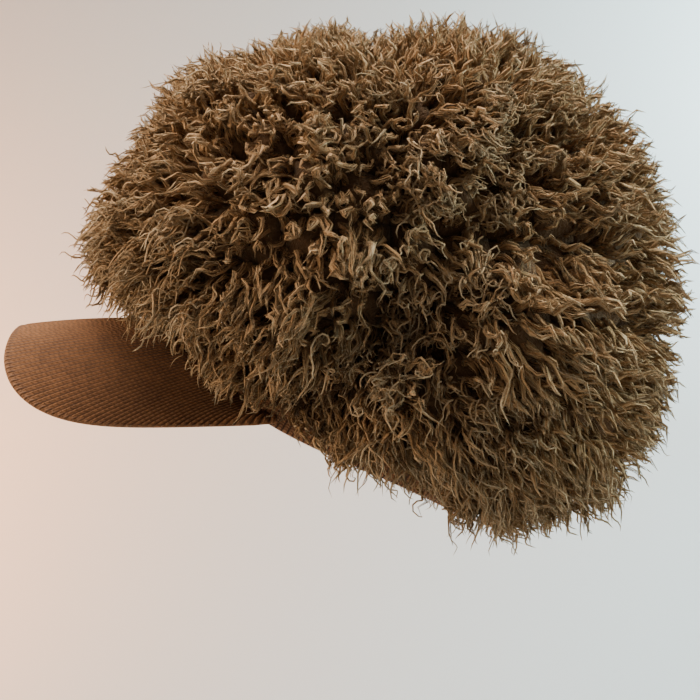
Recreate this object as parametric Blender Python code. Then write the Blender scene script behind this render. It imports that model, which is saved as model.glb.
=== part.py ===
"""A knitted peaked cap whose slouched crown is covered in deep curly wool locks.

Metres, +Z up. The peak points along -Y and the wearer's left is +X. The cap is
held as a head holds it: the peak is level and the head opening is tilted back.
The origin is the middle of the head opening, in the plane of the band's lower edge.
"""

import math
import random

import bmesh
import bpy
from mathutils import Matrix, Vector

# Head opening and knitted band
head_length = 0.206
head_width = 0.156
rim_tilt = math.radians(32)
temple_dip = 0.011
temple_angle = math.radians(75)
temple_spread = math.radians(40)
band_height = 0.014
band_wall = 0.0032
band_edge_cut = 0.0008

# Crown: a slouched hollow bag of knitted cloth that sits on the band
crown_wall = 0.0024
crown_stand = 0.014
stand_flare = 0.003
crown_half_length = 0.144
crown_half_width = 0.130
crown_set_back = 0.042
crown_height = 0.201
widest_height = 0.074
widest_slope = 0.028
squareness_front = 2.1
squareness_back = 2.7
roll_squareness = 2.0

# Wool pile on its own thin backing
pile_backing = 0.0014
pile_length = 0.040
pile_droop = 0.16
pile_sway = 0.22
pile_twist = math.radians(14)
pile_full_facing = 0.6
pile_least_facing = 0.45
pile_fold_depth = 0.18
pile_fold_shortening = 0.35
pile_length_variation = 0.12
seam_lean = 0.10
stand_pile_share = 0.55
nape_pile_share = 0.84
pile_centre_height = 0.070
pile_centre_back = 0.030

# Peak: a padded board under a knitted cover
peak_half_width = 0.085
peak_reach = 0.0855
peak_side_length = 0.156
peak_corner_power = 6
peak_arch_height = 0.056
peak_fall = 0.0035
peak_crown_lift = 0.002
peak_thickness = 0.0044
peak_seat_height = 0.001
peak_spread = math.radians(80)

# Gap that cloth pieces keep where they are sewn together, and the pile's on its crown
clearance = 0.0003
pile_clearance = 0.0006

# Levels up the crown: 0 on the band, then the stand's top, the widest level and the apex
STAND_TOP = 1.0
WIDEST = 2.0
APEX = 3.0
fold_start_level = 0.5
full_pile_level = 1.5

# Facets
around_steps = 32
band_steps = 64
roll_rows = 4
dome_rows = 4
cap_cells = around_steps // 4
peak_columns = 30
peak_rows = 6
peak_edge_samples = 720
cap_radius_share = 0.70

# Rings of a lock below its tip: the share of its length, and of its root's width
LOCK_RINGS = ((0.42, 0.74), (0.78, 0.40))

# Folds of the slouched crown, seen from the side. back is a share of the crown's
# half length from its middle, up is a share of the crown's height, depth and
# half_width are shares of the crown's half width. over_top is the share of its depth
# that a fold keeps over the top, away from the two sides.
FOLD_COLUMNS = ("name", "back_1", "up_1", "back_2", "up_2", "depth", "half_width", "over_top")
FOLDS = (
    ("side_seam", 0.00, 1.00, 0.02, 0.34, 0.09, 0.10, 0.35),
    ("back_shoulder", 0.04, 0.36, 0.74, 0.93, 0.14, 0.12, 0),
    ("back_middle", 0.11, 0.43, 0.60, 0.54, 0.11, 0.11, 0),
    ("back_tuck", 0.14, 0.41, 0.20, 0.21, 0.17, 0.10, 0),
    ("front_tuck", 0.03, 0.34, -0.20, 0.16, 0.20, 0.12, 0),
)
# The share of the crown's half width at which the side folds reach their full depth
fold_side_share = 0.6

# Colours of the knit and of the wool, with their roughness
KNIT_BROWN = (0.135, 0.062, 0.032, 1.0)
WOOL_BROWN = (0.150, 0.090, 0.045, 1.0)
CLOTH_ROUGHNESS = 0.92


def fresh_scene():
    for old in list(bpy.data.objects):
        bpy.data.objects.remove(old)


def cloth_material(name, colour):
    material = bpy.data.materials.new(name)
    material.use_nodes = True
    shader = material.node_tree.nodes["Principled BSDF"]
    shader.inputs["Base Color"].default_value = colour
    shader.inputs["Roughness"].default_value = CLOTH_ROUGHNESS
    shader.inputs["Metallic"].default_value = 0.0
    return material


def add_object(name, points, faces, material):
    mesh = bpy.data.meshes.new(name)
    mesh.from_pydata([tuple(p) for p in points], [], faces)
    mesh.validate()
    mesh.materials.append(material)
    made = bpy.data.objects.new(name, mesh)
    bpy.context.scene.collection.objects.link(made)
    return made


def rim_point(around, outward, height):
    """A point by the head opening: around is the angle from the front towards +X,
    outward the distance outside the head, height the distance above the rim."""
    across = (head_width / 2 + outward) * math.sin(around)
    along = -(head_length / 2 + outward) * math.cos(around)
    turn = math.atan2(math.sin(around), math.cos(around))
    from_temple = (abs(turn) - temple_angle) / temple_spread
    rise = height - temple_dip * math.exp(-(from_temple**2))
    return Vector((
        across,
        along * math.cos(rim_tilt) + rise * math.sin(rim_tilt),
        -along * math.sin(rim_tilt) + rise * math.cos(rim_tilt),
    ))


def fold_depth(point):
    """How far the folds pull a point of the crown inwards."""
    here = Vector((point.y - crown_set_back, point.z))
    on_side = min(1.0, abs(point.x) / (fold_side_share * crown_half_width))
    deepest = 0.0
    for row in FOLDS:
        fold = dict(zip(FOLD_COLUMNS, row))
        start = Vector((fold["back_1"] * crown_half_length, fold["up_1"] * crown_height))
        end = Vector((fold["back_2"] * crown_half_length, fold["up_2"] * crown_height))
        run = end - start
        share = max(0.0, min(1.0, (here - start).dot(run) / run.length_squared))
        away = (here - start - run * share).length
        width = fold["half_width"] * crown_half_width
        place = fold["over_top"] + (1 - fold["over_top"]) * on_side**2
        depth = fold["depth"] * crown_half_width * place * math.exp(-((away / width) ** 2))
        deepest = max(deepest, depth)
    return deepest


def plain_crown_point(around, up):
    """The crown's outer side without folds, at a level up."""
    base = rim_point(around, band_wall, band_height + clearance)
    stand = rim_point(around, band_wall + stand_flare, band_height + clearance + crown_stand)
    if up <= STAND_TOP:
        return base.lerp(stand, up)
    widest = Vector((
        crown_half_width * math.sin(around),
        crown_set_back - crown_half_length * math.cos(around),
        widest_height + widest_slope * math.cos(around),
    ))
    if up <= WIDEST:
        turn = (up - STAND_TOP) * math.pi / 2
        power = 2 / roll_squareness
        outward = math.sin(turn) ** power
        rise = 1 - max(0.0, math.cos(turn)) ** power
        return Vector((
            stand.x + (widest.x - stand.x) * outward,
            stand.y + (widest.y - stand.y) * outward,
            stand.z + (widest.z - stand.z) * rise,
        ))
    apex = Vector((0, crown_set_back, crown_height))
    turn = (up - WIDEST) * math.pi / 2
    frontness = (1 + math.cos(around)) / 2
    power = 2 / (squareness_back + (squareness_front - squareness_back) * frontness)
    outward = max(0.0, math.cos(turn)) ** power
    rise = math.sin(turn) ** power
    return Vector((
        apex.x + (widest.x - apex.x) * outward,
        apex.y + (widest.y - apex.y) * outward,
        widest.z + (apex.z - widest.z) * rise,
    ))


def crown_point(around, up):
    """The crown's outer side with its folds."""
    point = plain_crown_point(around, up)
    fade = max(0.0, min(1.0, (up - fold_start_level) / (STAND_TOP - fold_start_level)))
    inward = Vector((0, pile_centre_back, pile_centre_height)) - point
    return point + inward.normalized() * fold_depth(point) * fade


def crown_normal(around, up):
    """Outward normal of the crown, from two short steps along it."""
    step = 0.02
    low, high = max(0.0, up - step), min(APEX - step, up + step)
    along = crown_point(around + step, up) - crown_point(around - step, up)
    upward = crown_point(around, high) - crown_point(around, low)
    normal = along.cross(upward)
    if up > APEX - 2 * step or normal.length < 1e-12:
        return Vector((0, 0, 1))
    return normal.normalized()


def level_at_radius(share):
    """The level whose distance from the crown's axis is this share of the widest one."""
    power = 2 / ((squareness_back + squareness_front) / 2)
    return WIDEST + math.acos(share ** (1 / power)) / (math.pi / 2)


def crown_grid():
    """(places, cells): the crown cut into four-sided cells. A place is (around, up),
    a cell is four keys of places, anticlockwise from outside."""
    places, cells = {}, []
    cap_level = level_at_radius(cap_radius_share)
    levels = [0.0] + [STAND_TOP + row / roll_rows for row in range(roll_rows)]
    levels += [WIDEST + (cap_level - WIDEST) * row / dome_rows for row in range(dome_rows + 1)]

    def side_key(column, row):
        return ("side", column % around_steps, row)

    for row, up in enumerate(levels):
        for column in range(around_steps):
            places[side_key(column, row)] = (2 * math.pi * column / around_steps, up)
    for row in range(len(levels) - 1):
        for column in range(around_steps):
            cells.append((
                side_key(column, row),
                side_key(column + 1, row),
                side_key(column + 1, row + 1),
                side_key(column, row + 1),
            ))

    # The top is a square of cells whose edge is the last ring.
    last = len(levels) - 1
    half = cap_cells // 2

    def ring_column(dx, dy, ring):
        """The column that a place on a square ring faces, counted from the front."""
        stretch = half / ring
        if dy == -ring:
            return dx * stretch
        if dx == ring:
            return half + (ring + dy) * stretch
        if dy == ring:
            return 3 * half + (ring - dx) * stretch
        return 5 * half + (ring - dy) * stretch

    def cap_key(i, j):
        """i counts from -X to +X and j from the front to the back."""
        if max(abs(i - half), abs(j - half)) == half:
            return side_key(round(ring_column(i - half, j - half, half)), last)
        return ("cap", i, j)

    for i in range(1, cap_cells):
        for j in range(1, cap_cells):
            ring = max(abs(i - half), abs(j - half))
            if ring == 0:
                places[cap_key(i, j)] = (0.0, APEX)
                continue
            around = 2 * math.pi * ring_column(i - half, j - half, ring) / around_steps
            places[cap_key(i, j)] = (around, level_at_radius(cap_radius_share * ring / half))
    for i in range(cap_cells):
        for j in range(cap_cells):
            corners = ((i, j), (i + 1, j), (i + 1, j + 1), (i, j + 1))
            cells.append(tuple(cap_key(*corner) for corner in corners))
    return places, cells


def offset_point(place, outward):
    around, up = place
    return crown_point(around, up) + crown_normal(around, up) * outward


def closed_skin(name, cells, inner, outer, material, lock_of=None):
    """One closed body between two skins with the same cells. inner and outer give a
    point for each key. lock_of, if given, gives each cell's lock as rings of points
    and a tip, fused to the outer skin."""
    points, faces, index = [], [], {}

    def add(point):
        points.append(point)
        return len(points) - 1

    def key_index(side, key, where):
        if (side, key) not in index:
            index[(side, key)] = add(where[key])
        return index[(side, key)]

    edges = []
    for cell in cells:
        a, b, c, d = (key_index("in", key, inner) for key in cell)
        faces += [(a, c, b), (a, d, c)]
        base = [key_index("out", key, outer) for key in cell]
        if lock_of is None:
            faces += [(base[0], base[1], base[2]), (base[0], base[2], base[3])]
        else:
            rings, tip = lock_of(cell)
            below = base
            for ring in rings:
                above = [add(point) for point in ring]
                for k in range(4):
                    n = (k + 1) % 4
                    faces += [(below[k], below[n], above[n]), (below[k], above[n], above[k])]
                below = above
            top = add(tip)
            faces += [(below[k], below[(k + 1) % 4], top) for k in range(4)]
        edges += [(cell[k], cell[(k + 1) % 4]) for k in range(4)]
    shared = set(edges)
    for first, second in edges:
        if (second, first) in shared:
            continue
        p, q = index[("out", first)], index[("out", second)]
        r, s = index[("in", second)], index[("in", first)]
        # Two skins that meet here split their edges along the same diagonal.
        faces += [(q, p, s), (q, s, r)] if first < second else [(q, p, r), (p, s, r)]
    return add_object(name, points, faces, material)


def half_crown(half, *offsets):
    """(places, cells, seam, skins) for one half of the crown: half is -1 for the front
    and 1 for the back, seam holds the keys on the side seam, and there is a skin at
    each offset. The two halves stand the clearance apart along the seam."""
    places, cells = crown_grid()
    seam = {
        key
        for key, (around, up) in places.items()
        if abs(math.cos(around)) < 1e-6 or up == APEX
    }

    def frontness(cell):
        return sum(math.cos(places[key][0]) for key in cell if key not in seam)

    skins = []
    for outward in offsets:
        skin = {key: offset_point(place, outward) for key, place in places.items()}
        for key in seam:
            skin[key] = skin[key] + Vector((0, half * clearance / 2, 0))
        skins.append(skin)
    return places, [cell for cell in cells if frontness(cell) * half < 0], seam, skins


def build_crown(name, half, material):
    _, cells, _, (inner, outer) = half_crown(half, -crown_wall, 0)
    return closed_skin(name, cells, inner, outer, material)


def lock_length(around, up):
    """The wool is shorter on the stand, most of all above the peak, and full above it."""
    backness = (1 - math.cos(around)) / 2
    low_share = stand_pile_share + (nape_pile_share - stand_pile_share) * backness**2
    return pile_length * (low_share + (1 - low_share) * min(1.0, up / full_pile_level))


def build_pile(name, half, material, seed):
    """The wool of one half of the crown."""
    backing = (pile_clearance, pile_clearance + pile_backing)
    places, cells, seam, (inner, outer) = half_crown(half, *backing)
    dice = random.Random(seed)
    centre = Vector((0, pile_centre_back, pile_centre_height))

    def lock_of(cell):
        corners = [outer[key] for key in cell]
        root = sum(corners, Vector()) / 4
        square = (corners[2] - corners[0]).cross(corners[3] - corners[1]).normalized()
        radial = (root - centre).normalized()
        around, up = places[cell[0]]
        folded = min(1.0, fold_depth(root) / (pile_fold_depth * crown_half_width))
        length = lock_length(around, up) * (1 - folded * pile_fold_shortening)
        length *= 1 + dice.uniform(-1, 1) * pile_length_variation
        # Where the cloth turns under, a lock lies along it and stays short and straight.
        facing = max(pile_least_facing, min(1.0, radial.dot(square) / pile_full_facing))
        length *= facing
        sideways = radial.cross(Vector((0, 0, 1)))
        sideways = sideways.normalized() if sideways.length > 0.1 else Vector((1, 0, 0))
        other = radial.cross(sideways)
        sway = (sideways * dice.uniform(-1, 1) + other * dice.uniform(-1, 1)) * pile_sway * facing**4
        if any(key in seam for key in cell):
            sway = Vector((sway.x, half * seam_lean, sway.z))
        twist = dice.choice((-1, 1)) * pile_twist * facing**4

        def spine(share):
            fall = Vector((0, 0, -1)) * pile_droop * (1 - abs(radial.z))
            return root + radial * length * share + (sway + fall) * length * share**2

        rings = []
        for share, size in LOCK_RINGS:
            middle = spine(share)
            turn = Matrix.Rotation(twist * share, 3, radial)
            rings.append([middle + turn @ (corner - root) * size for corner in corners])
        return rings, spine(1.0)

    return closed_skin(name, cells, inner, outer, material, lock_of)


def build_band(material):
    """A hem with cut corners, swept round the opening."""
    cut, wall, high = band_edge_cut, band_wall, band_height
    section = [(cut, 0), (wall - cut, 0), (wall, cut), (wall, high - cut)]
    section += [(wall - cut, high), (cut, high), (0, high - cut), (0, cut)]
    count = len(section)
    points, faces = [], []
    for step in range(band_steps):
        around = 2 * math.pi * step / band_steps
        points += [rim_point(around, outward, height) for outward, height in section]
        here, there = step * count, (step + 1) % band_steps * count
        for k in range(count):
            n = (k + 1) % count
            faces.append((here + k, there + k, there + n, here + n))
    return add_object("band", points, faces, material)


def peak_edge():
    """The lower side of the peak's outer edge from one temple to the other, evenly
    spaced. Its cross section is a round arch through the ridge and both side edges."""
    front = rim_point(0, band_wall + clearance, peak_seat_height)
    start_y = front.y - peak_reach + peak_side_length
    arch_radius = (peak_half_width**2 + peak_arch_height**2) / (2 * peak_arch_height)
    dense = []
    samples = peak_edge_samples
    for k in range(samples + 1):
        turn = -math.pi / 2 + math.pi * k / samples
        across = abs(math.sin(turn)) / peak_half_width
        ahead = abs(math.cos(turn)) / peak_side_length
        power = peak_corner_power
        size = (across**power + ahead**power) ** (-1 / power)
        x, y = size * math.sin(turn), start_y - size * math.cos(turn)
        drop = arch_radius - math.sqrt(arch_radius**2 - x**2)
        fall = peak_fall * (start_y - y) / peak_side_length
        dense.append(Vector((x, y, front.z - fall - drop)))
    lengths = [0.0]
    for before, after in zip(dense, dense[1:]):
        lengths.append(lengths[-1] + (after - before).length)
    edge, k = [], 0
    for column in range(peak_columns + 1):
        want = lengths[-1] * column / peak_columns
        while k < samples - 1 and lengths[k + 1] < want:
            k += 1
        share = (want - lengths[k]) / (lengths[k + 1] - lengths[k])
        edge.append(dense[k].lerp(dense[k + 1], share))
    return edge


def build_peak(material):
    """A padded board that starts on the band and ends in a round edge."""
    edge = peak_edge()
    rim_upward = Vector((0, math.sin(rim_tilt), math.cos(rim_tilt)))

    def lower(column, share):
        around = peak_spread * (2 * column / peak_columns - 1)
        seat = rim_point(around, band_wall + clearance, peak_seat_height)
        lift = Vector((0, 0, peak_crown_lift * 4 * share * (1 - share)))
        return seat.lerp(edge[column], share) + lift

    def upward(column, share):
        """Along the band beside the seat, and square to the board away from it."""
        left, right = max(0, column - 1), min(peak_columns, column + 1)
        low, high = max(0.0, share - 0.05), min(1.0, share + 0.05)
        along = lower(right, share) - lower(left, share)
        outward = lower(column, high) - lower(column, low)
        square = outward.cross(along).normalized()
        away = (lower(column, share) - lower(column, 0)).length
        return rim_upward.lerp(square, min(1.0, away / (2 * peak_thickness))).normalized()

    points, top, under = [], {}, {}

    def add(point):
        points.append(point)
        return len(points) - 1

    half = peak_thickness / 2
    for column in range(peak_columns + 1):
        width = (lower(column, 1) - lower(column, 0)).length
        round_share = 1 - min(0.4, half / width)
        for row in range(peak_rows):
            share = round_share * row / (peak_rows - 1)
            under[column, row] = add(lower(column, share))
            top[column, row] = add(lower(column, share) + upward(column, share) * peak_thickness)
        nose = add(lower(column, 1) + upward(column, 1) * half)
        top[column, peak_rows] = under[column, peak_rows] = nose

    faces = []
    for column in range(peak_columns):
        for row in range(peak_rows):
            for side in (top, under):
                a, b = side[column, row], side[column + 1, row]
                c, d = side[column + 1, row + 1], side[column, row + 1]
                faces += [(a, b, c), (a, c, d)]
        a, b = top[column, 0], top[column + 1, 0]
        c, d = under[column + 1, 0], under[column, 0]
        faces += [(a, b, c), (a, c, d)]
    for column in (0, peak_columns):
        rows = range(peak_rows + 1)
        side = [top[column, row] for row in rows]
        side += [under[column, row] for row in reversed(rows[:-1])]
        faces += [(side[0], side[k], side[k + 1]) for k in range(1, len(side) - 1)]
    made = add_object("peak", points, faces, material)
    shape = bmesh.new()
    shape.from_mesh(made.data)
    bmesh.ops.recalc_face_normals(shape, faces=shape.faces)
    shape.to_mesh(made.data)
    shape.free()
    return made


def main():
    fresh_scene()
    knit = cloth_material("knit", KNIT_BROWN)
    wool = cloth_material("wool", WOOL_BROWN)
    build_band(knit)
    build_peak(knit)
    build_crown("crown_front", -1, knit)
    build_crown("crown_back", 1, knit)
    build_pile("pile_front", -1, wool, 11)
    build_pile("pile_back", 1, wool, 23)
    for made in bpy.context.scene.objects:
        made.data.shade_smooth()


main()
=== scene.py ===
# Knitted peaked cap with a curly wool crown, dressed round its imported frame
import math

import bmesh
import bpy
import numpy as np
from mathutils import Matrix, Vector


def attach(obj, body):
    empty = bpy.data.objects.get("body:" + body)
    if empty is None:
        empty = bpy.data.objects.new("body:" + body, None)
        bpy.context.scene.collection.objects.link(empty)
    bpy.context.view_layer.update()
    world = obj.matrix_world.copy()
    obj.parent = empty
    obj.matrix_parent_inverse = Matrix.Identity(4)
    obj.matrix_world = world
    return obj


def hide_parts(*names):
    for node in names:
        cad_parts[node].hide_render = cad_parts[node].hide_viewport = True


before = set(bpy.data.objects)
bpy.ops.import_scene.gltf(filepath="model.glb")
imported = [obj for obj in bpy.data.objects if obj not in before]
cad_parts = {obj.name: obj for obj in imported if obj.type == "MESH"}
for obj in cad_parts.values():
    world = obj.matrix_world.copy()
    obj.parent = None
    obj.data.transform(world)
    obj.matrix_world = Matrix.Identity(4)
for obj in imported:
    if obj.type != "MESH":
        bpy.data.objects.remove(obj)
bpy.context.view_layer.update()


# shared helpers

fullTurn = 2 * math.pi
noTriangles = np.zeros((0, 3), int)


def unit(vectors):
    return vectors / np.maximum(np.linalg.norm(vectors, axis=-1, keepdims=True), 1e-12)


def squareTo(vectors, axis):
    # what is left of the vectors once the part along the axis is taken away
    return vectors - axis * np.sum(vectors * axis, axis=-1, keepdims=True)


def addFact(mesh, fact, values):
    # a value or a vector for each point, for the material to read
    wide = values.ndim == 3
    made = mesh.attributes.new(fact, "FLOAT_VECTOR" if wide else "FLOAT", "POINT")
    made.data.foreach_set("vector" if wide else "value", values.astype(np.float32).ravel())


def meshPiece(name, points, quads, triangles, material, facts):
    # one mesh from arrays, with its facts
    mesh = bpy.data.meshes.new(name)
    corners = np.concatenate([quads.ravel(), triangles.ravel()]).astype(np.int32)
    sizes = np.repeat([4, 3], [len(quads), len(triangles)])
    mesh.vertices.add(len(points))
    mesh.vertices.foreach_set("co", points.astype(np.float32).ravel())
    mesh.loops.add(len(corners))
    mesh.loops.foreach_set("vertex_index", corners)
    mesh.polygons.add(len(sizes))
    mesh.polygons.foreach_set("loop_start", (np.cumsum(sizes) - sizes).astype(np.int32))
    mesh.update(calc_edges=True)
    mesh.validate()
    mesh.shade_smooth()
    for fact, values in facts.items():
        addFact(mesh, fact, values)
    mesh.materials.append(material)
    piece = bpy.data.objects.new(name, mesh)
    bpy.context.scene.collection.objects.link(piece)
    return piece


def gridFaces(rows, columns, closeRows=False, closeColumns=False):
    # quads of a grid of points numbered row by row
    r = np.arange(rows if closeRows else rows - 1)
    c = np.arange(columns if closeColumns else columns - 1)
    r, c = np.meshgrid(r, c, indexing="ij")
    a = r * columns + c
    b = r * columns + (c + 1) % columns
    d = (r + 1) % rows * columns + c
    e = (r + 1) % rows * columns + (c + 1) % columns
    return np.stack([a, b, e, d], axis=-1).reshape(-1, 4)


def weldedMesh(node):
    # the node's mesh with the export's doubled points joined again
    form = bmesh.new()
    form.from_mesh(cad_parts[node].data)
    bmesh.ops.remove_doubles(form, verts=form.verts, dist=1e-6)
    return form


# node wiring

class Wiring:
    # a thin hand for placing nodes in one tree and joining them
    def __init__(self, tree):
        self.tree = tree

    def node(self, kind, **settings):
        made = self.tree.nodes.new(kind)
        for key, value in settings.items():
            setattr(made, key, value)
        return made

    def feed(self, value, socket):
        if hasattr(value, "is_linked"):
            self.tree.links.new(value, socket)
        else:
            socket.default_value = value

    def math(self, operation, first, second=0.0):
        made = self.node("ShaderNodeMath", operation=operation)
        self.feed(first, made.inputs[0])
        self.feed(second, made.inputs[1])
        return made.outputs[0]

    def mix(self, share, first, second):
        made = self.node("ShaderNodeMix", data_type="RGBA")
        self.feed(share, made.inputs[0])
        self.feed(first, made.inputs[6])
        self.feed(second, made.inputs[7])
        return made.outputs[2]

    def clamp(self, value):
        return self.math("MINIMUM", self.math("MAXIMUM", value, 0.0), 1.0)

    def ramp(self, value, low, high):
        # 0 below low and 1 above high
        return self.clamp(self.math("DIVIDE", self.math("SUBTRACT", value, low), high - low))

    def swing(self, value, size):
        # a value from 0 to 1 as one from minus half the size to half the size
        return self.math("MULTIPLY", self.math("SUBTRACT", value, 0.5), size)

    def noise(self, scale, detail, vector):
        made = self.node("ShaderNodeTexNoise")
        made.inputs["Scale"].default_value = scale
        made.inputs["Detail"].default_value = detail
        self.feed(vector, made.inputs["Vector"])
        return made.outputs[0]

    def chance(self, first, second):
        # a random number for each pair of numbers
        pair = self.node("ShaderNodeCombineXYZ")
        self.feed(first, pair.inputs[0])
        self.feed(second, pair.inputs[1])
        made = self.node("ShaderNodeTexWhiteNoise", noise_dimensions="2D")
        self.feed(pair.outputs[0], made.inputs["Vector"])
        return made.outputs["Value"]

    def bump(self, height, strength, distance):
        made = self.node("ShaderNodeBump")
        made.inputs["Strength"].default_value = strength
        made.inputs["Distance"].default_value = distance
        self.feed(height, made.inputs["Height"])
        return made.outputs["Normal"]

    def fact(self, name, output="Fac"):
        return self.node("ShaderNodeAttribute", attribute_name=name).outputs[output]

    def place(self):
        return self.node("ShaderNodeTexCoord").outputs["Object"]


def newGroup(name, inputs, outputs):
    # inputs: name to default value; outputs: name to socket type
    group = bpy.data.node_groups.new(name, "ShaderNodeTree")
    for title, value in inputs.items():
        kind = "NodeSocketColor" if isinstance(value, tuple) else "NodeSocketFloat"
        socket = group.interface.new_socket(title, in_out="INPUT", socket_type=kind)
        socket.default_value = value
    for title, kind in outputs.items():
        group.interface.new_socket(title, in_out="OUTPUT", socket_type=kind)
    start = group.nodes.new("NodeGroupInput")
    end = group.nodes.new("NodeGroupOutput")
    return group, start.outputs, end.inputs


def newMaterial(name, roughness, sheen, specular=0.25):
    material = bpy.data.materials.new(name)
    material.use_nodes = True
    shader = material.node_tree.nodes["Principled BSDF"].inputs
    shader["Roughness"].default_value = roughness
    shader["Sheen Weight"].default_value = sheen
    shader["Sheen Roughness"].default_value = 0.5
    shader["Specular IOR Level"].default_value = specular
    return material, Wiring(material.node_tree), shader


# knit stitches: rows of V, read from wale and course numbers that the mesh carries

stitchForm = {
    "slant": 0.45,  # how far each half of a V leans, in courses
    "uneven": 0.5,
    "roundness": 0.9,
    "dipReach": 0.14,  # of a wale, from its middle to both sides
    "dipDepth": 2.4,
    "swell": 0.42,  # share of the height that comes and goes along a strand
    "unevenHeight": 0.4,
}


def makeStitchGroup():
    group, given, out = newGroup(
        "knitStitch",
        {"Wale": 0.0, "Course": 0.0, "Slant": stitchForm["slant"], "Uneven": stitchForm["uneven"]},
        {"Height": "NodeSocketFloat"},
    )
    w = Wiring(group)
    # no two wales start their stitches together, and no two stitches are quite alike
    waleNumber = w.math("FLOOR", given["Wale"])
    start = w.math("MULTIPLY", w.chance(waleNumber, 0.0), given["Uneven"])
    course = w.math("ADD", given["Course"], start)
    alike = w.math("SUBTRACT", w.chance(waleNumber, w.math("FLOOR", course)), 0.5)
    side = w.math("ABSOLUTE", w.math("SUBTRACT", w.math("FRACT", given["Wale"]), 0.5))
    ridge = w.math("MAXIMUM", w.math("COSINE", w.math("MULTIPLY", side, math.pi)), 0.0)
    ridge = w.math("POWER", ridge, stitchForm["roundness"])
    dip = w.math("MAXIMUM", w.math("SUBTRACT", stitchForm["dipReach"], side), 0.0)
    dip = w.math("MULTIPLY", dip, stitchForm["dipDepth"])
    # each half of the V is a slanted strand, lower in the middle of its wale
    slanted = w.math("MULTIPLY", w.math("MULTIPLY", side, 2.0), given["Slant"])
    along = w.math("SUBTRACT", w.math("FRACT", w.math("ADD", course, slanted)), 0.5)
    strandHeight = w.math("COSINE", w.math("MULTIPLY", w.math("ABSOLUTE", along), math.pi))
    swell = w.math("MULTIPLY", strandHeight, stitchForm["swell"])
    swell = w.math("ADD", swell, 1 - stitchForm["swell"])
    height = w.math("MULTIPLY", w.math("SUBTRACT", ridge, dip), swell)
    uneven = w.math("MULTIPLY", w.math("MULTIPLY", alike, given["Uneven"]), stitchForm["unevenHeight"])
    w.feed(w.math("ADD", height, uneven), out["Height"])
    return group


yarn = {
    "patchScale": 45.0,
    "patchDepth": 0.35,
    "fibreScale": 1400.0,
    "fibreDepth": 0.5,
    "detail": 2.0,
    "plainTone": 0.5,  # where no stitches show, as on the peak's rolled edge
    "fuzzRelief": 0.25,
}


def makeYarnGroup():
    # soft mottling of dyed wool: low patches and fine fibres, laid over the mask it is given, which
    # carries painted shade
    group, given, out = newGroup(
        "yarnToneAndShade",
        {"Dark": (0.05, 0.02, 0.01, 1.0), "Light": (0.2, 0.1, 0.05, 1.0), "Mask": 0.5},
        {"Color": "NodeSocketColor", "Fuzz": "NodeSocketFloat"},
    )
    w = Wiring(group)
    place = w.place()
    patches = w.noise(yarn["patchScale"], yarn["detail"], place)
    fibres = w.noise(yarn["fibreScale"], yarn["detail"], place)
    share = w.math("ADD", given["Mask"], w.swing(patches, yarn["patchDepth"]))
    share = w.clamp(w.math("ADD", share, w.swing(fibres, yarn["fibreDepth"])))
    w.feed(w.mix(share, given["Dark"], given["Light"]), out["Color"])
    w.feed(fibres, out["Fuzz"])
    return group


stitchGroup = makeStitchGroup()
yarnGroup = makeYarnGroup()


def knitMaterial(name, look):
    material, w, shader = newMaterial(name, look["roughness"], look["sheen"])
    stitches = w.node("ShaderNodeGroup", node_tree=stitchGroup)
    w.feed(w.fact("wale"), stitches.inputs["Wale"])
    w.feed(w.fact("course"), stitches.inputs["Course"])
    tone = w.node("ShaderNodeGroup", node_tree=yarnGroup)
    w.feed(look["dark"], tone.inputs["Dark"])
    w.feed(look["light"], tone.inputs["Light"])
    # painted shade: the colour is darker in the dips between stitches and lighter on their ridges,
    # read from the stitch height
    mask = w.ramp(stitches.outputs["Height"], *look["contrast"])
    mask = w.math("MULTIPLY", mask, look["lift"])
    plain = w.fact("plain")
    mask = w.math("MULTIPLY", mask, w.math("SUBTRACT", 1.0, plain))
    mask = w.math("ADD", mask, w.math("MULTIPLY", plain, yarn["plainTone"]))
    # painted shade: darker in the groove behind the peak's rolled edge
    mask = w.math("MULTIPLY", mask, w.math("SUBTRACT", 1.0, w.fact("crease")))
    w.feed(mask, tone.inputs["Mask"])
    w.feed(tone.outputs["Color"], shader["Base Color"])
    fuzz = w.math("MULTIPLY", tone.outputs["Fuzz"], yarn["fuzzRelief"])
    height = w.math("ADD", stitches.outputs["Height"], fuzz)
    w.feed(w.bump(height, look["relief"], look["stitchDepth"]), shader["Normal"])
    return material


# rim and band

rim = {
    "length": 0.206,
    "width": 0.156,
    "tilt": math.radians(32),
    "templeDip": 0.011,
    "templeAngle": math.radians(75),
    "templeSpread": math.radians(40),
}


def rimPoint(around, outward, height):
    # around from the front towards +X, outward from the opening, height above the rim
    across = (rim["width"] / 2 + outward) * np.sin(around)
    along = -(rim["length"] / 2 + outward) * np.cos(around)
    turn = np.abs(np.arctan2(np.sin(around), np.cos(around)))
    fromTemple = (turn - rim["templeAngle"]) / rim["templeSpread"]
    rise = height - rim["templeDip"] * np.exp(-(fromTemple ** 2))
    back = along * math.cos(rim["tilt"]) + rise * math.sin(rim["tilt"])
    up = -along * math.sin(rim["tilt"]) + rise * math.cos(rim["tilt"])
    return np.stack(np.broadcast_arrays(across, back, up), axis=-1)


band = {
    "height": 0.014,
    "wall": 0.0032,
    "ribs": 200,
    "pointsPerRib": 4,
    "ribRelief": 0.0004,
    "course": 0.0014,
    "sectionPoints": 12,
    "sectionPowers": (0.6, 0.75),  # 1 is an oval, less is squarer: across and up
    "dark": (0.030, 0.012, 0.005, 1.0),
    "light": (0.230, 0.100, 0.045, 1.0),
    "lift": 0.9,
    "contrast": (0.1, 0.9),
    "relief": 0.9,
    "stitchDepth": 0.0006,
    "roughness": 0.9,
    "sheen": 0.03,
}


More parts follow.
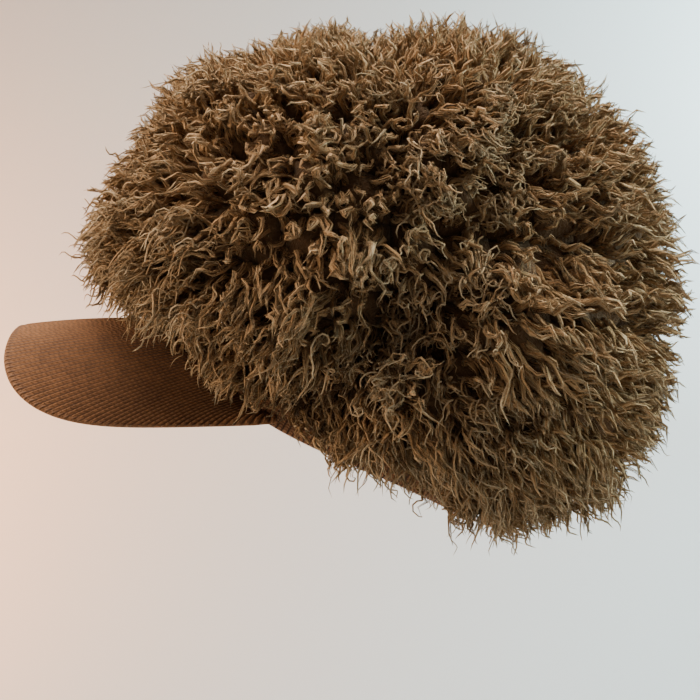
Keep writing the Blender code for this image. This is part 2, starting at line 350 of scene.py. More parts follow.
def makeBand():
    around = np.linspace(0, fullTurn, band["ribs"] * band["pointsPerRib"], endpoint=False)
    turn = np.linspace(0, fullTurn, band["sectionPoints"], endpoint=False)
    # a tall soft oval section, squared towards its corners
    side, rise = np.cos(turn), np.sin(turn)
    outPower, upPower = band["sectionPowers"]
    outward = band["wall"] / 2 * (1 + np.sign(side) * np.abs(side) ** outPower)
    height = band["height"] / 2 * (1 + np.sign(rise) * np.abs(rise) ** upPower)
    rib = -band["ribRelief"] * (0.5 + 0.5 * np.cos(around * band["ribs"]))
    out = outward[None, :] + rib[:, None] * side[None, :]
    points = rimPoint(around[:, None], out, height[None, :])
    facts = {
        "wale": np.broadcast_to(around[:, None] / fullTurn * band["ribs"], out.shape),
        "course": np.broadcast_to(height[None, :] / band["course"], out.shape),
    }
    quads = gridFaces(*out.shape, closeRows=True, closeColumns=True)
    material = knitMaterial("rimKnit", band)
    piece = meshPiece("ribbedBand", points.reshape(-1, 3), quads, noTriangles, material, facts)
    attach(piece, "root")
    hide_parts("band")
    print("band", band["ribs"], "ribs")


# crown cloth, seen from inside and between the roots of the wool

crown = {
    "seamAt": 0.042,
    "axisAt": 0.04,  # along the cap, the upright line that its wales stand round
    "radius": 0.13,  # from that line, where a wale is one stitch wide
    "stitch": 0.0022,
    "joinAngle": 3,
    "smoothing": 2,
    # the cloth's own dark brown, made near black as painted shade where it shows between the wool's
    # roots
    "dark": (0.030, 0.014, 0.006, 1.0),
    "light": (0.090, 0.044, 0.018, 1.0),
    "lift": 0.8,
    "contrast": (0.0, 1.0),
    "relief": 0.8,
    "stitchDepth": 0.0006,
    "roughness": 0.95,
    "sheen": 0.2,
}


def makeCrown():
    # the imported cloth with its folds, made smooth
    material = knitMaterial("crownKnit", crown)
    angle = crown["joinAngle"]
    for node, name in (("crown_front", "crownClothFront"), ("crown_back", "crownClothBack")):
        form = weldedMesh(node)
        bmesh.ops.join_triangles(
            form, faces=form.faces, angle_face_threshold=angle, angle_shape_threshold=angle
        )
        mesh = bpy.data.meshes.new(name)
        form.to_mesh(mesh)
        form.free()
        piece = bpy.data.objects.new(name, mesh)
        bpy.context.scene.collection.objects.link(piece)
        smooth = piece.modifiers.new("smooth", "SUBSURF")
        smooth.levels = smooth.render_levels = crown["smoothing"]
        graph = bpy.context.evaluated_depsgraph_get()
        fine = bpy.data.meshes.new_from_object(piece.evaluated_get(graph))
        piece.modifiers.clear()
        piece.data = fine
        fine.materials.clear()
        fine.materials.append(material)
        fine.shade_smooth()
        place = np.zeros(len(fine.vertices) * 3)
        fine.vertices.foreach_get("co", place)
        place = place.reshape(-1, 3)
        turn = np.arctan2(place[:, 0], -(place[:, 1] - crown["axisAt"]))
        addFact(fine, "wale", turn * crown["radius"] / crown["stitch"])
        addFact(fine, "course", place[:, 2] / crown["stitch"])
        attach(piece, "root")
        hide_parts(node)
        print("crown cloth", name, len(place), "points")


# peak: a padded board under a plain knit whose wales fan out a little from the band

peak = {
    "halfWidth": 0.085,
    "reach": 0.0855,
    "sideLength": 0.156,
    "cornerPower": 6,
    "archHeight": 0.056,
    "fall": 0.0035,
    "camber": 0.002,
    "thickness": 0.0044,
    "seatHeight": 0.001,
    "spread": math.radians(80),
    "gap": 0.0003,
    "wales": 126,
    "pointsPerWale": 4,
    "straightness": 0.25,  # 0 spaces the wales evenly, more lets them run straighter ahead
    "edgePoints": 2881,
    "rowsAbove": 32,
    "rowsRound": 6,
    "rowsBelow": 8,
    "rowCrowding": 1.4,  # more brings the rows above nearer to the edge
    "roundMost": 0.4,  # of the way in, at the most, that the round edge takes
    "slopeStep": 0.03,
    "course": 0.0027,
    "waleRelief": 0.0009,
    "rolledEdge": 0.030,  # share of the way in, plain and set off by a groove
    "edgePlain": 0.7,
    "grooveAt": 1.1,  # place and width in rolled edges
    "grooveWidth": 0.5,
    "grooveDepth": 0.5,  # of the relief of the wales
    "grooveShade": 0.35,
    "dark": (0.038, 0.014, 0.005, 1.0),
    "light": (0.200, 0.084, 0.031, 1.0),
    "lift": 0.95,
    "contrast": (0.05, 1.05),
    "relief": 1.0,
    "stitchDepth": 0.0009,
    "roughness": 0.9,
    "sheen": 0.03,
}


def peakEdge(columns):
    # the lower side of the outer edge, evenly spaced from one temple to the other
    front = rimPoint(0.0, band["wall"] + peak["gap"], peak["seatHeight"])
    startY = front[1] - peak["reach"] + peak["sideLength"]
    radius = (peak["halfWidth"] ** 2 + peak["archHeight"] ** 2) / (2 * peak["archHeight"])
    turn = np.linspace(-math.pi / 2, math.pi / 2, peak["edgePoints"])
    across = np.abs(np.sin(turn)) / peak["halfWidth"]
    ahead = np.abs(np.cos(turn)) / peak["sideLength"]
    power = peak["cornerPower"]
    size = (across ** power + ahead ** power) ** (-1 / power)
    x, y = size * np.sin(turn), startY - size * np.cos(turn)
    drop = radius - np.sqrt(radius ** 2 - x ** 2)
    fall = peak["fall"] * (startY - y) / peak["sideLength"]
    dense = np.stack([x, y, front[2] - fall - drop], axis=-1)
    steps = np.linalg.norm(np.diff(dense, axis=0), axis=1)
    length = np.concatenate([[0], np.cumsum(steps)])
    fan = np.linspace(-1, 1, columns)
    share = (1 - peak["straightness"]) * fan + peak["straightness"] * fan * np.abs(fan)
    want = length[-1] * (0.5 + 0.5 * share)
    return np.stack([np.interp(want, length, dense[:, k]) for k in range(3)], axis=-1)


def makePeak():
    columns = peak["wales"] * peak["pointsPerWale"] + 1
    fan = np.linspace(-1, 1, columns)
    turn = (1 + peak["straightness"]) * fan - peak["straightness"] * fan * np.abs(fan)
    seat = rimPoint(turn * peak["spread"], band["wall"] + peak["gap"], peak["seatHeight"])
    edge = peakEdge(columns)
    width = np.linalg.norm(edge - seat, axis=1)
    roundShare = (1 - np.minimum(peak["roundMost"], peak["thickness"] / 2 / width))[:, None]
    rimUp = np.array([0, math.sin(rim["tilt"]), math.cos(rim["tilt"])])

    def lower(share):
        lift = peak["camber"] * 4 * share * (1 - share)
        share = share[..., None]
        level = seat[:, None] * (1 - share) + edge[:, None] * share
        return level + np.array([0, 0, 1]) * lift[..., None]

    def upward(share):
        here = lower(share)
        along = np.gradient(here, axis=0)
        step = peak["slopeStep"]
        outward = lower(np.minimum(share + step, 1)) - lower(np.maximum(share - step, 0))
        square = unit(np.cross(outward, along))
        away = np.linalg.norm(here - seat[:, None], axis=-1, keepdims=True)
        nearBand = np.minimum(1, away / (2 * peak["thickness"]))
        return unit(rimUp * (1 - nearBand) + square * nearBand)

    # the rows above crowd towards the edge, where the groove is
    above = 1 - (1 - np.linspace(0, 1, peak["rowsAbove"])) ** peak["rowCrowding"]
    below = np.linspace(1, 0, peak["rowsBelow"])
    turn = np.linspace(math.pi / 2, -math.pi / 2, peak["rowsRound"] + 2)[1:-1]
    rolled = roundShare + (1 - roundShare) * np.cos(turn)
    share = np.concatenate([above * roundShare, rolled, below * roundShare], axis=1)
    height = np.concatenate([np.ones(len(above)), 0.5 + 0.5 * np.sin(turn), np.zeros(len(below))])
    normal = upward(share)
    points = lower(share) + normal * (height * peak["thickness"])[None, :, None]
    # ridges of the wales on the upper side and round the edge
    wale = np.linspace(0, peak["wales"], columns)
    ridge = -peak["waleRelief"] * (0.5 + 0.5 * np.cos(fullTurn * wale))
    fromEdge = (1 - share) / peak["rolledEdge"]
    ridges = ridge[:, None] * height * np.clip(fromEdge - 1, 0, 1)
    crease = np.exp(-((fromEdge - peak["grooveAt"]) / peak["grooveWidth"]) ** 2) * height
    groove = peak["waleRelief"] * peak["grooveDepth"] * crease
    points += normal * (ridges - groove)[..., None]
    facts = {
        "wale": np.broadcast_to(wale[:, None], share.shape),
        "course": share * width[:, None] / peak["course"],
        # painted shade for the groove, read by the material
        "crease": crease * peak["grooveShade"],
        "plain": peak["edgePlain"] * np.clip(2 - 2 * fromEdge, 0, 1),
    }
    rows = share.shape[1]
    quads = gridFaces(columns, rows, closeColumns=True)
    # both ends are closed with a strip across
    ends = []
    for first, flip in ((0, False), ((columns - 1) * rows, True)):
        for k in range(rows // 2 - 1):
            strip = [first + k, first + k + 1, first + rows - 2 - k, first + rows - 1 - k]
            ends.append(strip[::-1] if flip else strip)
    quads = np.concatenate([quads, np.array(ends)])[:, ::-1]
    material = knitMaterial("peakKnit", peak)
    piece = meshPiece("knittedPeak", points.reshape(-1, 3), quads, noTriangles, material, facts)
    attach(piece, "root")
    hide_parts("peak")
    print("peak", peak["wales"], "wales")


# wool: each packed lock becomes a low soft mound with staples on it and finer curls on those

wool = {
    "seed": 7,
    "staples": 30,
    "spread": 0.62,  # of the lock's foot, from its middle to the outer staples
    "spreads": (0.9, 1.1),
    "rootDepth": 0.0022,
    "seamWidth": 0.024,
    "seamLean": 0.22,
    "lockTightness": 0.18,
    "lean": 0.16,
    "droop": 0.03,
    "sideDroop": 0.32,  # more where the wool faces sideways
    "lengths": (0.80, 1.08),
    "tuftSpacing": 0.030,
    "tuftPull": 0.68,  # how far a tip goes towards the middle of its tuft
    "strays": 0.26,  # share of the staples that stand by themselves between the tufts
    "strayPull": 0.10,
    "hollowLean": 0.3,
    "waveRadius": 0.0026,
    "waveSizes": (0.6, 1.3),
    "waveWidths": (0.25, 0.9),  # 1 is round, less is flatter
    "waves": (1.3, 2.5),
    "curl": 0.35,  # more turns at the end of some staples
    "hook": 0.005,
    "hooks": (0.2, 1.0),
    "topHeight": 0.165,
    "sidesFrom": 0.05,  # from the cap's middle plane, where its sides begin
    "upperShare": 0.78,  # of the way to the lock's tip, where its upper ring stands
}

# places at both sides where the wool falls apart: along the cap, up, reach, share of length lost
hollows = (
    (0.044, 0.062, 0.017, 0.50),
    (0.070, 0.046, 0.013, 0.45),
    (0.110, 0.102, 0.015, 0.34),
    (-0.005, 0.094, 0.014, 0.38),
    (0.030, 0.120, 0.012, 0.30),
    (0.088, 0.020, 0.012, 0.30),
    (-0.040, 0.052, 0.012, 0.30),
)

# fuller and thinner places: along the cap, up, reach, share of the length gained
fullness = (
    (0.150, 0.210, 0.030, 0.12),
    (0.095, 0.200, 0.035, 0.12),
    (-0.055, 0.185, 0.030, 0.12),
    (-0.110, 0.145, 0.024, -0.38),
    (-0.125, 0.095, 0.018, -0.20),
    (0.190, 0.160, 0.018, -0.20),
    (0.195, 0.030, 0.026, -0.28),
)

# directions that no lock follows, from which turns round an axis are measured
cornersFrom = (0.3, 0.5, 0.8)
turnFrom = (0.31, 0.17, 0.93)

goldenAngle = 2.39996


def readLocks(node):
    # each packed lock as its foot's four corners, its two rings and its tip
    form = weldedMesh(node)
    locks = []
    for tip in form.verts:
        upper = {e.other_vert(tip) for e in tip.link_edges}
        if len(upper) != 4 or any(len(v.link_edges) != 5 for v in upper):
            continue
        middle = {e.other_vert(v) for v in upper for e in v.link_edges} - upper - {tip}
        foot = {e.other_vert(v) for v in middle for e in v.link_edges} - middle - upper
        if len(middle) != 4 or len(foot) != 4:
            continue
        rings = [sorted(tuple(v.co) for v in ring) for ring in (foot, middle, upper)]
        locks.append(rings + [tuple(tip.co)])
    form.free()
    return locks


def orderedCorners(corners, axis):
    # four corners in turn round the lock's axis
    middle = corners.mean(axis=0)
    side = unit(np.cross(axis, cornersFrom))
    other = np.cross(axis, side)
    turn = np.arctan2((corners - middle) @ other, (corners - middle) @ side)
    return corners[np.argsort(turn)]


def lockShapes(locks):
    # the locks as arrays: corners of each foot in turn, its middle, the tip and the bend between
    foot = np.array([np.mean(lock[0], axis=0) for lock in locks])
    upper = np.array([np.mean(lock[2], axis=0) for lock in locks])
    tip = np.array([lock[3] for lock in locks])
    corners = np.array([
        orderedCorners(np.array(lock[0]), unit(end - middle))
        for lock, end, middle in zip(locks, tip, foot)
    ])
    share = wool["upperShare"]
    bend = ((upper - foot) - share * (tip - foot)) / (share ** 2 - share)
    return corners, foot, tip, bend


def towardsSeam(root):
    # next to the side seam the wool leans over it and hides it
    off = root[:, 1] - crown["seamAt"]
    lean = -np.sign(off) * np.clip(1 - np.abs(off) / wool["seamWidth"], 0, 1) * wool["seamLean"]
    return np.stack([lean * 0, lean, lean * 0], axis=-1)


def tuftMiddles(places, dice):
    # places picked in random order, each at least the spacing away from those before it
    chosen = []
    for place in dice.permutation(places):
        if all(np.linalg.norm(place - other) > wool["tuftSpacing"] for other in chosen):
            chosen.append(place)
    return np.array(chosen)


def towardsTuft(root, middles, length):
    # wool gathers in tufts, so each staple leans to the nearest middle
    away = np.linalg.norm(root[:, None] - middles[None], axis=2)
    nearest = middles[np.argmin(away, axis=1)]
    return (nearest - root) * wool["tuftPull"] / length[:, None]


def openHollows(root):
    # the share of its length that each staple loses, and its lean away from the hollow
    lost = np.zeros(len(root))
    lean = np.zeros_like(root)
    for along, up, reach, share in hollows:
        off = root[:, 1:] - np.array([along, up])
        far = np.linalg.norm(off, axis=1)
        near = np.exp(-(far / reach) ** 2) * (np.abs(root[:, 0]) > wool["sidesFrom"])
        lost = np.maximum(lost, near * share)
        lean[:, 1:] += off / reach * (near * wool["hollowLean"])[:, None]
    return lost, lean


def gainedLength(root):
    # fuller and thinner places as a factor of the length
    gained = np.ones(len(root))
    for along, up, reach, share in fullness:
        far = np.linalg.norm(root[:, 1:] - np.array([along, up]), axis=1)
        gained += share * np.exp(-(far / reach) ** 2)
    return gained


def growStaples(locks, middles, dice):
    # what each staple of these locks is made from: its foot, its line and its curl
    corners, base, tip, bend = lockShapes(locks)
    across = np.cross(corners[:, 2] - corners[:, 0], corners[:, 3] - corners[:, 1])
    width = np.sqrt(np.linalg.norm(across, axis=1) / 2)
    count = len(locks) * wool["staples"]
    lockOf = np.repeat(np.arange(len(locks)), wool["staples"])
    # the staples of a lock stand in a spiral from its middle
    place = np.tile(np.arange(wool["staples"]), len(locks)) + 0.5
    turn = place * goldenAngle + dice.uniform(0, fullTurn, len(locks))[lockOf]
    away = wool["spread"] * np.sqrt(place / wool["staples"]) * dice.uniform(*wool["spreads"], count)
    u, v = (0.5 + away * np.cos(turn))[:, None], (0.5 + away * np.sin(turn))[:, None]
    quad = corners[lockOf]
    near = quad[:, 0] * (1 - u) + quad[:, 1] * u
    far = quad[:, 3] * (1 - u) + quad[:, 2] * u
    root = near * (1 - v) + far * v
    axis = unit(tip - base)[lockOf]
    length = np.linalg.norm(tip - base, axis=1)[lockOf]
    lost, opened = openHollows(root)
    stray = dice.uniform(0, 1, count) < wool["strays"]
    pull = np.where(stray, wool["strayPull"], 1.0)[:, None]
    lean = dice.normal(0, wool["lean"], (count, 3)) + towardsSeam(root) + opened
    lean = lean + towardsTuft(root, middles, length) * pull
    roll = dice.uniform(0, fullTurn, count)[:, None]
    first = unit(np.cross(axis, turnFrom))
    second = np.cross(axis, first)
    return {
        "base": base[lockOf],
        "away": root - base[lockOf],
        "reach": (tip - base - bend)[lockOf],
        "bend": bend[lockOf],
        "axis": axis,
        "first": first * np.cos(roll) + second * np.sin(roll),
        "second": second * np.cos(roll) - first * np.sin(roll),
        "length": length,
        "width": width[lockOf],
        "scale": dice.uniform(*wool["lengths"], count) * (1 - lost) * gainedLength(root),
        "lean": squareTo(lean, axis),
        "phase": dice.uniform(0, fullTurn, count),
        "waves": dice.uniform(*wool["waves"], count) * dice.choice([-1.0, 1.0], count),
        "curl": wool["curl"] * dice.uniform(0, 1, count) ** 2,
        "droop": wool["droop"] + wool["sideDroop"] * axis[:, 0] ** 2,
        "radius": wool["waveRadius"] * dice.uniform(*wool["waveSizes"], count),
        "flat": dice.uniform(*wool["waveWidths"], count),
        "hook": dice.uniform(*wool["hooks"], count) * wool["hook"],
        "tone": dice.uniform(0, 1, count),
    }


# how a staple runs, in shares of its length
bending = {
    "leanPower": 1.5,
    "curlFrom": 0.5,
    "opensAt": 2.2,  # times the share, up to 1: how soon the waves are open
    "waveAtRoot": 0.7,
    "waveGrowth": 0.6,
    "hookFrom": 0.72,
    "hookDown": (0, 0, -0.8),
    "hookAside": (0.6, 0.5),  # of the two directions across the staple
    "hookBack": 0.5,
}


def followStaple(s, t, scale=1.0, phase=0.0, wild=1.0):
    # the staple's line at shares t, with its curl and its hooked end
    first, second, axis = s["first"][:, None], s["second"][:, None], s["axis"][:, None]
    size = (s["scale"] * scale)[:, None] * t
    line = s["reach"][:, None] * size[..., None] + s["bend"][:, None] * (size ** 2)[..., None]
    line = line + s["away"][:, None] * (1 - wool["lockTightness"] * t[..., None])
    pull = s["lean"] * s["length"][:, None]
    line = line + pull[:, None] * (t ** bending["leanPower"])[..., None]
    line = line - np.array([0, 0, 1]) * ((s["droop"] * s["length"])[:, None] * t ** 2)[..., None]
    late = np.maximum(0, t - bending["curlFrom"]) ** 2 / (1 - bending["curlFrom"])
    angle = (s["phase"] + phase)[:, None]
    angle = angle + fullTurn * (s["waves"][:, None] * (t + s["curl"][:, None] * late))
    opening = (s["radius"] * wild)[:, None] * np.minimum(1, t * bending["opensAt"])
    opening = opening * (bending["waveAtRoot"] + bending["waveGrowth"] * t)
    line = line + first * (np.cos(angle) * opening)[..., None]
    line = line + second * (np.sin(angle) * opening * s["flat"][:, None])[..., None]
    ending = np.maximum(0, t - bending["hookFrom"]) / (1 - bending["hookFrom"])
    aside = bending["hookAside"]
    down = unit(np.array(bending["hookDown"]) + aside[0] * first + aside[1] * second)
    hooked = (s["hook"][:, None] * ending ** 2)[..., None]
    line = line + (down - bending["hookBack"] * axis) * hooked
    line = line - axis * (wool["rootDepth"] * (1 - t))[..., None]
    return s["base"][:, None] + line


def roundRings(paths, radii, flutes, twist):
    # rings of points round each path, with flutes that wind round it by twist
    tangent = unit(np.gradient(paths, axis=1))
    side = np.zeros_like(paths)
    side[:, 0] = unit(np.cross(tangent[:, 0], turnFrom))
    for step in range(1, paths.shape[1]):
        side[:, step] = unit(squareTo(side[:, step - 1], tangent[:, step]))
    other = np.cross(tangent, side)
    turn = (fullTurn * np.arange(len(flutes)) / len(flutes) + twist[..., None])[:, :-1]
    out = radii[:, :-1, None] * (1 - np.array(flutes))
    rings = paths[:, :-1, None] + side[:, :-1, None] * (np.cos(turn) * out)[..., None]
    return rings + other[:, :-1, None] * (np.sin(turn) * out)[..., None]


# steps in the noise that streaks the fibres: along a tube, between tones and between tubes
fibreSteps = (1.3, 37, 1.7)


def tubeMesh(name, paths, rings, along, tone, material, loose=0.0):
    # closed tubes along paths[tube, step], each through its rings and ending in a point;
    # loose is 1 where the fibres of a tube part
    count, steps = paths.shape[:2]
    sides = rings.shape[2]
    points = np.concatenate([rings.reshape(count, -1, 3), paths[:, -1:]], axis=1)
    perTube = points.shape[1]
    quad = gridFaces(steps - 1, sides, closeColumns=True)
    last = (steps - 2) * sides
    triangle = [[last + k, last + (k + 1) % sides, perTube - 1] for k in range(sides)]
    triangle += [[0, k + 1, k] for k in range(1, sides - 1)]
    offset = np.arange(count)[:, None, None] * perTube
    quads = (quad[None] + offset).reshape(-1, 4)
    triangles = (np.array(triangle)[None] + offset).reshape(-1, 3)
    # the material reads the share of the way, the tone and a place among the fibres
    run = np.concatenate([np.repeat(along[:, :-1], sides, axis=1), along[:, -1:]], axis=1)
    around = np.append(np.tile(fullTurn * np.arange(sides) / sides, steps - 1), 0.0)
    alongStep, toneStep, tubeStep = fibreSteps
    place = run * alongStep + tone[:, None] * toneStep + np.arange(count)[:, None] * tubeStep
    facts = {
        "along": run,
        "tone": np.broadcast_to(tone[:, None], run.shape),
        "fibre": np.stack(np.broadcast_arrays(np.cos(around), np.sin(around), place), axis=-1),
        "loose": np.full(run.shape, loose),
    }
    return meshPiece(name, points.reshape(-1, 3), quads, triangles, material, facts)


core = {
    "reach": 0.36,
    "lift": 0.0012,  # of its lower end above the foot, to stay clear of the cloth's inside
    "profile": (1.0, 1.08, 0.98, 0.80, 0.50, 0.0),  # of the lock's foot, from root to end
    "sides": 12,
    "lumps": 0.5,
    "shade": 0.30,  # of the way to the tip's tone, kept low so the mounds stay dark as painted shade
    "deep": (-0.45, 0.0),  # where the tone goes from the deepest, a painted shade, to the root's
}


def makeCores(name, locks, middles, dice, material):
    # low soft mounds that fill the whole foot of their lock, so no cloth shows between the staples;
    # their dark colour is painted shade between the staples
    corners, foot, tip, bend = lockShapes(locks)
    axis = unit(tip - foot)
    length = np.linalg.norm(tip - foot, axis=1)
    lost, opened = openHollows(foot)
    lean = squareTo(towardsTuft(foot, middles, length) + towardsSeam(foot) + opened, axis)
    full = ((1 - lost) * gainedLength(foot))[:, None]
    t = np.linspace(0, core["reach"], len(core["profile"]))[None] * full
    line = foot[:, None] + (tip - foot - bend)[:, None] * t[..., None]
    line = line + bend[:, None] * (t ** 2)[..., None]
    line = line + (lean * length[:, None])[:, None] * (t ** bending["leanPower"])[..., None]
    line = line + (axis * core["lift"])[:, None] * (1 - t)[..., None]
    sides = np.arange(core["sides"])
    share = ((sides / core["sides"] * 4) % 1)[:, None]
    first = sides * 4 // core["sides"]
    outline = corners[:, first] * (1 - share) + corners[:, (first + 1) % 4] * share
    outline = outline - foot[:, None]
    size = np.array(core["profile"])[None, :-1, None] * np.ones((len(locks), 1, len(sides)))
    rise = np.linspace(0, 1, size.shape[1])[None, :, None]
    size = size * (1 - core["lumps"] * dice.uniform(0, 1, size.shape) * rise)
    rings = line[:, :-1, None] + outline[:, None] * size[..., None]
    tone = dice.uniform(0, 1, len(locks))
    return tubeMesh(name, line, rings, t * core["shade"] + core["deep"][0], tone, material)


staple = {
    "steps": 8,
    "start": 0.10,
    "reach": 0.92,
    "width": 0.112,  # of the lock's foot
    "profile": (0.9, 0.95, 0.94, 0.88, 0.78, 0.64, 0.44, 0.0),
    "flutes": (0.0, 0.28, 0.10),
    "twist": (3.0, 7.0),
    "lumps": 0.16,
    "gaps": (0.47, 0.53),  # of the noise that parts its fibres: closed below, open above
    "gapScale": 2.1,
    "gapDetail": 1.0,
    "partedFrom": (0.10, 0.50),  # along the staple
}


def stapleRadius(s, t):
    shares = np.linspace(staple["start"], staple["reach"], len(staple["profile"]))
    return s["width"][:, None] * staple["width"] * np.interp(t, shares, staple["profile"])


def makeStaples(name, s, dice, material):
    # the wavy bundles of fibres that make the wool's mass
    count = len(s["base"])
    steps = np.linspace(staple["start"], staple["reach"], staple["steps"])
    t = np.broadcast_to(steps, (count, len(steps)))
    radii = stapleRadius(s, t) * (1 + staple["lumps"] * dice.uniform(-1, 1, t.shape))
    winding = dice.uniform(*staple["twist"], count) * np.sign(s["waves"])
    twist = s["phase"][:, None] + winding[:, None] * t
    line = followStaple(s, t)
    rings = roundRings(line, radii, staple["flutes"], twist)
    return tubeMesh(name, line, rings, t, s["tone"], material, loose=1.0)


strand = {
    "perStaple": 0.5,
    "steps": 14,
    "start": 0.45,
    "lengths": (0.84, 1.06),
    "phase": 0.4,  # stray from its staple's own waves
    "waveSizes": (0.7, 1.4),
    "depths": (0.55, 1.0),  # of the staple's radius
    "stray": 0.0022,
    "crimp": (3.8, 5.4),  # turns over the whole of its staple
    "crimpRadius": 0.0014,
    "crimpSizes": (0.4, 1.3),
    "width": 0.00085,
    "tipWidth": 0.00028,
    "taper": (0.5, 0.8),  # share of the staple that it takes, and its power
    "widths": (0.6, 1.35),
    "ownTone": 0.6,  # the rest is its staple's tone
    "toneShift": (0.25, 0.4),  # of the place along the staple, and the tone that isn't moved
    "furthest": 1.2,
}


def makeStrands(name, s, dice, material):
    # finer crimped curls on some of the staples
    count = round(strand["perStaple"] * len(s["base"]))
    chosen = dice.permutation(np.arange(count) % len(s["base"]))
    own = {key: values[chosen] for key, values in s.items()}
    steps = np.linspace(strand["start"], 1, strand["steps"])
    t = np.broadcast_to(steps, (count, len(steps)))
    line = followStaple(
        own, t,
        dice.uniform(*strand["lengths"], count),
        dice.normal(0, strand["phase"], count),
        dice.uniform(*strand["waveSizes"], count),
    )
    # strands lie on the staple's outside and stray a little towards their ends
    turn = dice.uniform(0, fullTurn, count)[:, None]
    outward = own["first"] * np.cos(turn) + own["second"] * np.sin(turn)
    away = stapleRadius(own, t) * dice.uniform(*strand["depths"], count)[:, None]
    stray = dice.normal(0, strand["stray"], count)[:, None] * t ** 2
    line = line + outward[:, None] * (away + stray)[..., None]
    angle = dice.uniform(0, fullTurn, count)[:, None]
    angle = angle + fullTurn * dice.uniform(*strand["crimp"], count)[:, None] * t
    crimp = strand["crimpRadius"] * dice.uniform(*strand["crimpSizes"], count)[:, None, None]
    line = line + own["first"][:, None] * np.cos(angle)[..., None] * crimp
    line = line + own["second"][:, None] * np.sin(angle)[..., None] * crimp
    taperShare, taperPower = strand["taper"]
    taper = np.minimum(1, (1 - t) / taperShare) ** taperPower
    radii = strand["tipWidth"] + (strand["width"] - strand["tipWidth"]) * taper
    radii = radii * dice.uniform(*strand["widths"], count)[:, None]
    ownTone = strand["ownTone"]
    tone = np.clip((1 - ownTone) * own["tone"] + ownTone * dice.uniform(0, 1, count), 0, 1)
    shift, unmoved = strand["toneShift"]
    along = np.clip(t + shift * (tone[:, None] - unmoved), 0, strand["furthest"])
    rings = roundRings(line, radii, (0.0, 0.0, 0.0), np.zeros_like(t))
    return tubeMesh(name, line, rings, along, tone, material)


woolLook = {
    # deep colour: painted shade at the foot of the underwool mounds
    "deepColour": (0.058, 0.028, 0.011, 1.0),
    # darker roots and lighter tips: partly the wool's own tone, partly painted shade deep in the pile
    # and painted highlight on the tips
    "rootColour": (0.172, 0.080, 0.028, 1.0),
    "bodyColour": (0.315, 0.178, 0.078, 1.0),
    "tipColour": (0.450, 0.345, 0.215, 1.0),
    "bodyFrom": (0.05, 0.62),  # along the staple, mottled
    "tipFrom": (0.70, 1.35),
    "tipShare": 0.9,
    "toneDepth": 0.35,
    "streakScale": 3.0,
    "streakDetail": 5.0,
    "streakDepth": 1.6,
    "fuzzScale": 750.0,
    "fuzzDetail": 3.0,
    "fuzzDepth": 0.9,
    "patchScale": 24.0,
    "patchDetail": 2.0,
    "patchDepth": 0.45,
    "relief": 0.9,
    "fibreDepth": 0.0014,
    "roughness": 0.75,
    "specular": 0.18,
    "sheen": 0.15,
    "sheenTint": (0.80, 0.66, 0.48, 1.0),
}


def woolMaterial():
    look = woolLook
    material, w, shader = newMaterial(
        "curlyWool", look["roughness"], look["sheen"], look["specular"]
    )
    shader["Sheen Tint"].default_value = look["sheenTint"]
    along, tone, place = w.fact("along"), w.fact("tone"), w.place()
    fibre = w.fact("fibre", "Vector")
    streak = w.noise(look["streakScale"], look["streakDetail"], fibre)
    fuzz = w.noise(look["fuzzScale"], look["fuzzDetail"], place)
    patches = w.noise(look["patchScale"], look["patchDetail"], place)
    mottle = w.swing(patches, look["patchDepth"])
    mottle = w.math("ADD", mottle, w.swing(fuzz, look["fuzzDepth"]))
    mottle = w.math("ADD", w.swing(streak, look["streakDepth"]), mottle)
    mottle = w.math("ADD", w.swing(tone, look["toneDepth"]), mottle)
    reach = w.math("ADD", along, mottle)
    # darker towards the root: partly the wool's own tone, partly painted shade deep in the pile
    colour = w.mix(w.ramp(reach, *look["bodyFrom"]), look["rootColour"], look["bodyColour"])
    # painted shade: the underwool mounds go to the deep colour towards their foot
    colour = w.mix(w.ramp(along, *core["deep"]), look["deepColour"], colour)
    # lighter tips: partly the wool's own tone, partly painted highlight
    tipped = w.math("MULTIPLY", w.ramp(reach, *look["tipFrom"]), look["tipShare"])
    w.feed(w.mix(tipped, colour, look["tipColour"]), shader["Base Color"])
    # a staple is a bundle of fibres with gaps between them
    parted = w.ramp(w.noise(staple["gapScale"], staple["gapDetail"], fibre), *staple["gaps"])
    parted = w.math("MULTIPLY", parted, w.ramp(along, *staple["partedFrom"]))
    parted = w.math("MULTIPLY", parted, w.fact("loose"))
    w.feed(w.math("SUBTRACT", 1.0, parted), shader["Alpha"])
    height = w.math("ADD", streak, fuzz)
    w.feed(w.bump(height, look["relief"], look["fibreDepth"]), shader["Normal"])
    return material


def makeWool():
    dice = np.random.default_rng(wool["seed"])
    material = woolMaterial()
    locksOf = {node: readLocks(node) for node in ("pile_front", "pile_back")}
    feet = [np.mean(lock[0], axis=0) for locks in locksOf.values() for lock in locks]
    middles = tuftMiddles(np.array(feet), dice)
    print("tufts", len(middles))
    for node, area in (("pile_front", "Front"), ("pile_back", "Back")):
        parts = {"Left": [], "Right": [], "Top": []}
        for lock in locksOf[node]:
            foot = np.mean(lock[0], axis=0)
            part = "Top" if foot[2] > wool["topHeight"] else ("Left" if foot[0] > 0 else "Right")
            parts[part].append(lock)
        for part, chosen in parts.items():
            staples = growStaples(chosen, middles, dice)
            pieces = [
                makeCores("underwool" + area + part, chosen, middles, dice, material),
                makeStaples("fleece" + area + part, staples, dice, material),
                makeStrands("curls" + area + part, staples, dice, material),
            ]
            for piece in pieces:
                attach(piece, "root")
                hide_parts(node)
            print("wool", area, part, len(chosen), "locks", len(staples["base"]), "staples")


# stage, light and camera

stage = {
    "floorHeight": -0.9,
    "wallDistance": 3.6,  # far enough to look at the cap from behind too
    "coveRadius": 0.7,
    "covePoints": 13,
    "reach": 4.5,
    "colour": (0.70, 0.70, 0.70, 1.0),
    "roughness": 0.95,
}

camera = {
    "distance": 0.9,
    "seenWidth": 0.42,
    "sensor": 36,
    "y": 0.021,
    "z": 0.0426,
}

world = {
    "colour": (1.0, 0.93, 0.85, 1.0),
    "strength": 0.24,
}

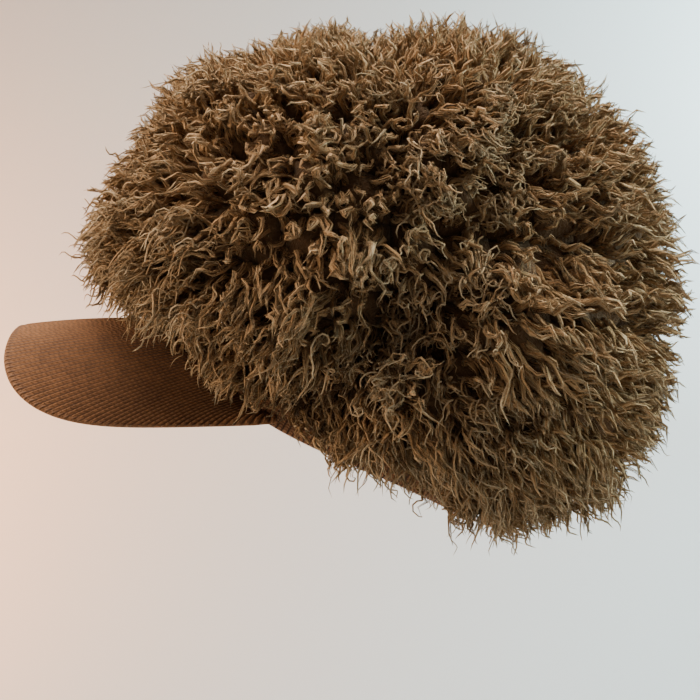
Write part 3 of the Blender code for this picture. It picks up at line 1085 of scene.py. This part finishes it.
lights = {
    # name: place, aim, size, power, colour
    "top": ((-0.05, 0.0, 1.35), (0, 0.02, 0.08), 1.6, 74.0, (1.0, 0.95, 0.86)),
    "left": ((0.12, -1.30, 0.40), (0, 0.0, 0.06), 1.2, 46.0, (1.0, 0.79, 0.57)),
    "right": ((-0.02, 1.30, 0.48), (0, 0.05, 0.06), 1.2, 46.0, (0.78, 1.0, 0.96)),
    "wallLeft": ((-2.6, -2.3, -0.3), (-3.4, -1.3, -0.5), 1.2, 120.0, (1.0, 0.40, 0.12)),
    "wallRight": ((-2.8, 2.1, 0.9), (-3.6, 0.9, 0.9), 0.8, 126.0, (0.62, 0.93, 1.0)),
}


def makeStage():
    # a floor that rounds up into the wall
    wallX = -stage["wallDistance"]
    low, radius = stage["floorHeight"], stage["coveRadius"]
    profile = [(stage["reach"], low)]
    for turn in np.linspace(0, math.pi / 2, stage["covePoints"]):
        x = wallX + radius - radius * math.sin(turn)
        profile.append((x, low + radius - radius * math.cos(turn)))
    profile.append((wallX, stage["reach"]))
    ys = (-stage["reach"], stage["reach"])
    points = np.array([[x, y, z] for x, z in profile for y in ys])
    quads = gridFaces(len(profile), 2)
    material, w, shader = newMaterial("paleStage", stage["roughness"], 0.0)
    shader["Base Color"].default_value = stage["colour"]
    piece = meshPiece("paleFloor", points, quads, noTriangles, material, {})
    print("stage made")


def makeLights():
    studio = bpy.data.worlds.new("studio")
    bpy.context.scene.world = studio
    studio.use_nodes = True
    background = studio.node_tree.nodes["Background"].inputs
    background[0].default_value = world["colour"]
    background[1].default_value = world["strength"]
    for name, (place, aim, size, power, colour) in lights.items():
        data = bpy.data.lights.new(name, "AREA")
        data.shape = "DISK"
        data.size, data.energy, data.color = size, power, colour
        lamp = bpy.data.objects.new(name, data)
        bpy.context.scene.collection.objects.link(lamp)
        lamp.visible_camera = False
        lamp.location = place
        lamp.rotation_euler = (Vector(aim) - Vector(place)).to_track_quat("-Z", "Y").to_euler()
    print("lights", len(lights))


def makeCamera():
    data = bpy.data.cameras.new("camera")
    data.sensor_width = camera["sensor"]
    data.lens = camera["sensor"] * camera["distance"] / camera["seenWidth"]
    eye = bpy.data.objects.new("camera", data)
    bpy.context.scene.collection.objects.link(eye)
    eye.location = (camera["distance"], camera["y"], camera["z"])
    eye.rotation_euler = (math.pi / 2, 0, math.pi / 2)
    bpy.context.scene.camera = eye
    print("camera", tuple(eye.location))


makeCamera()
makeStage()
makeLights()
makeBand()
makeCrown()
makePeak()
makeWool()
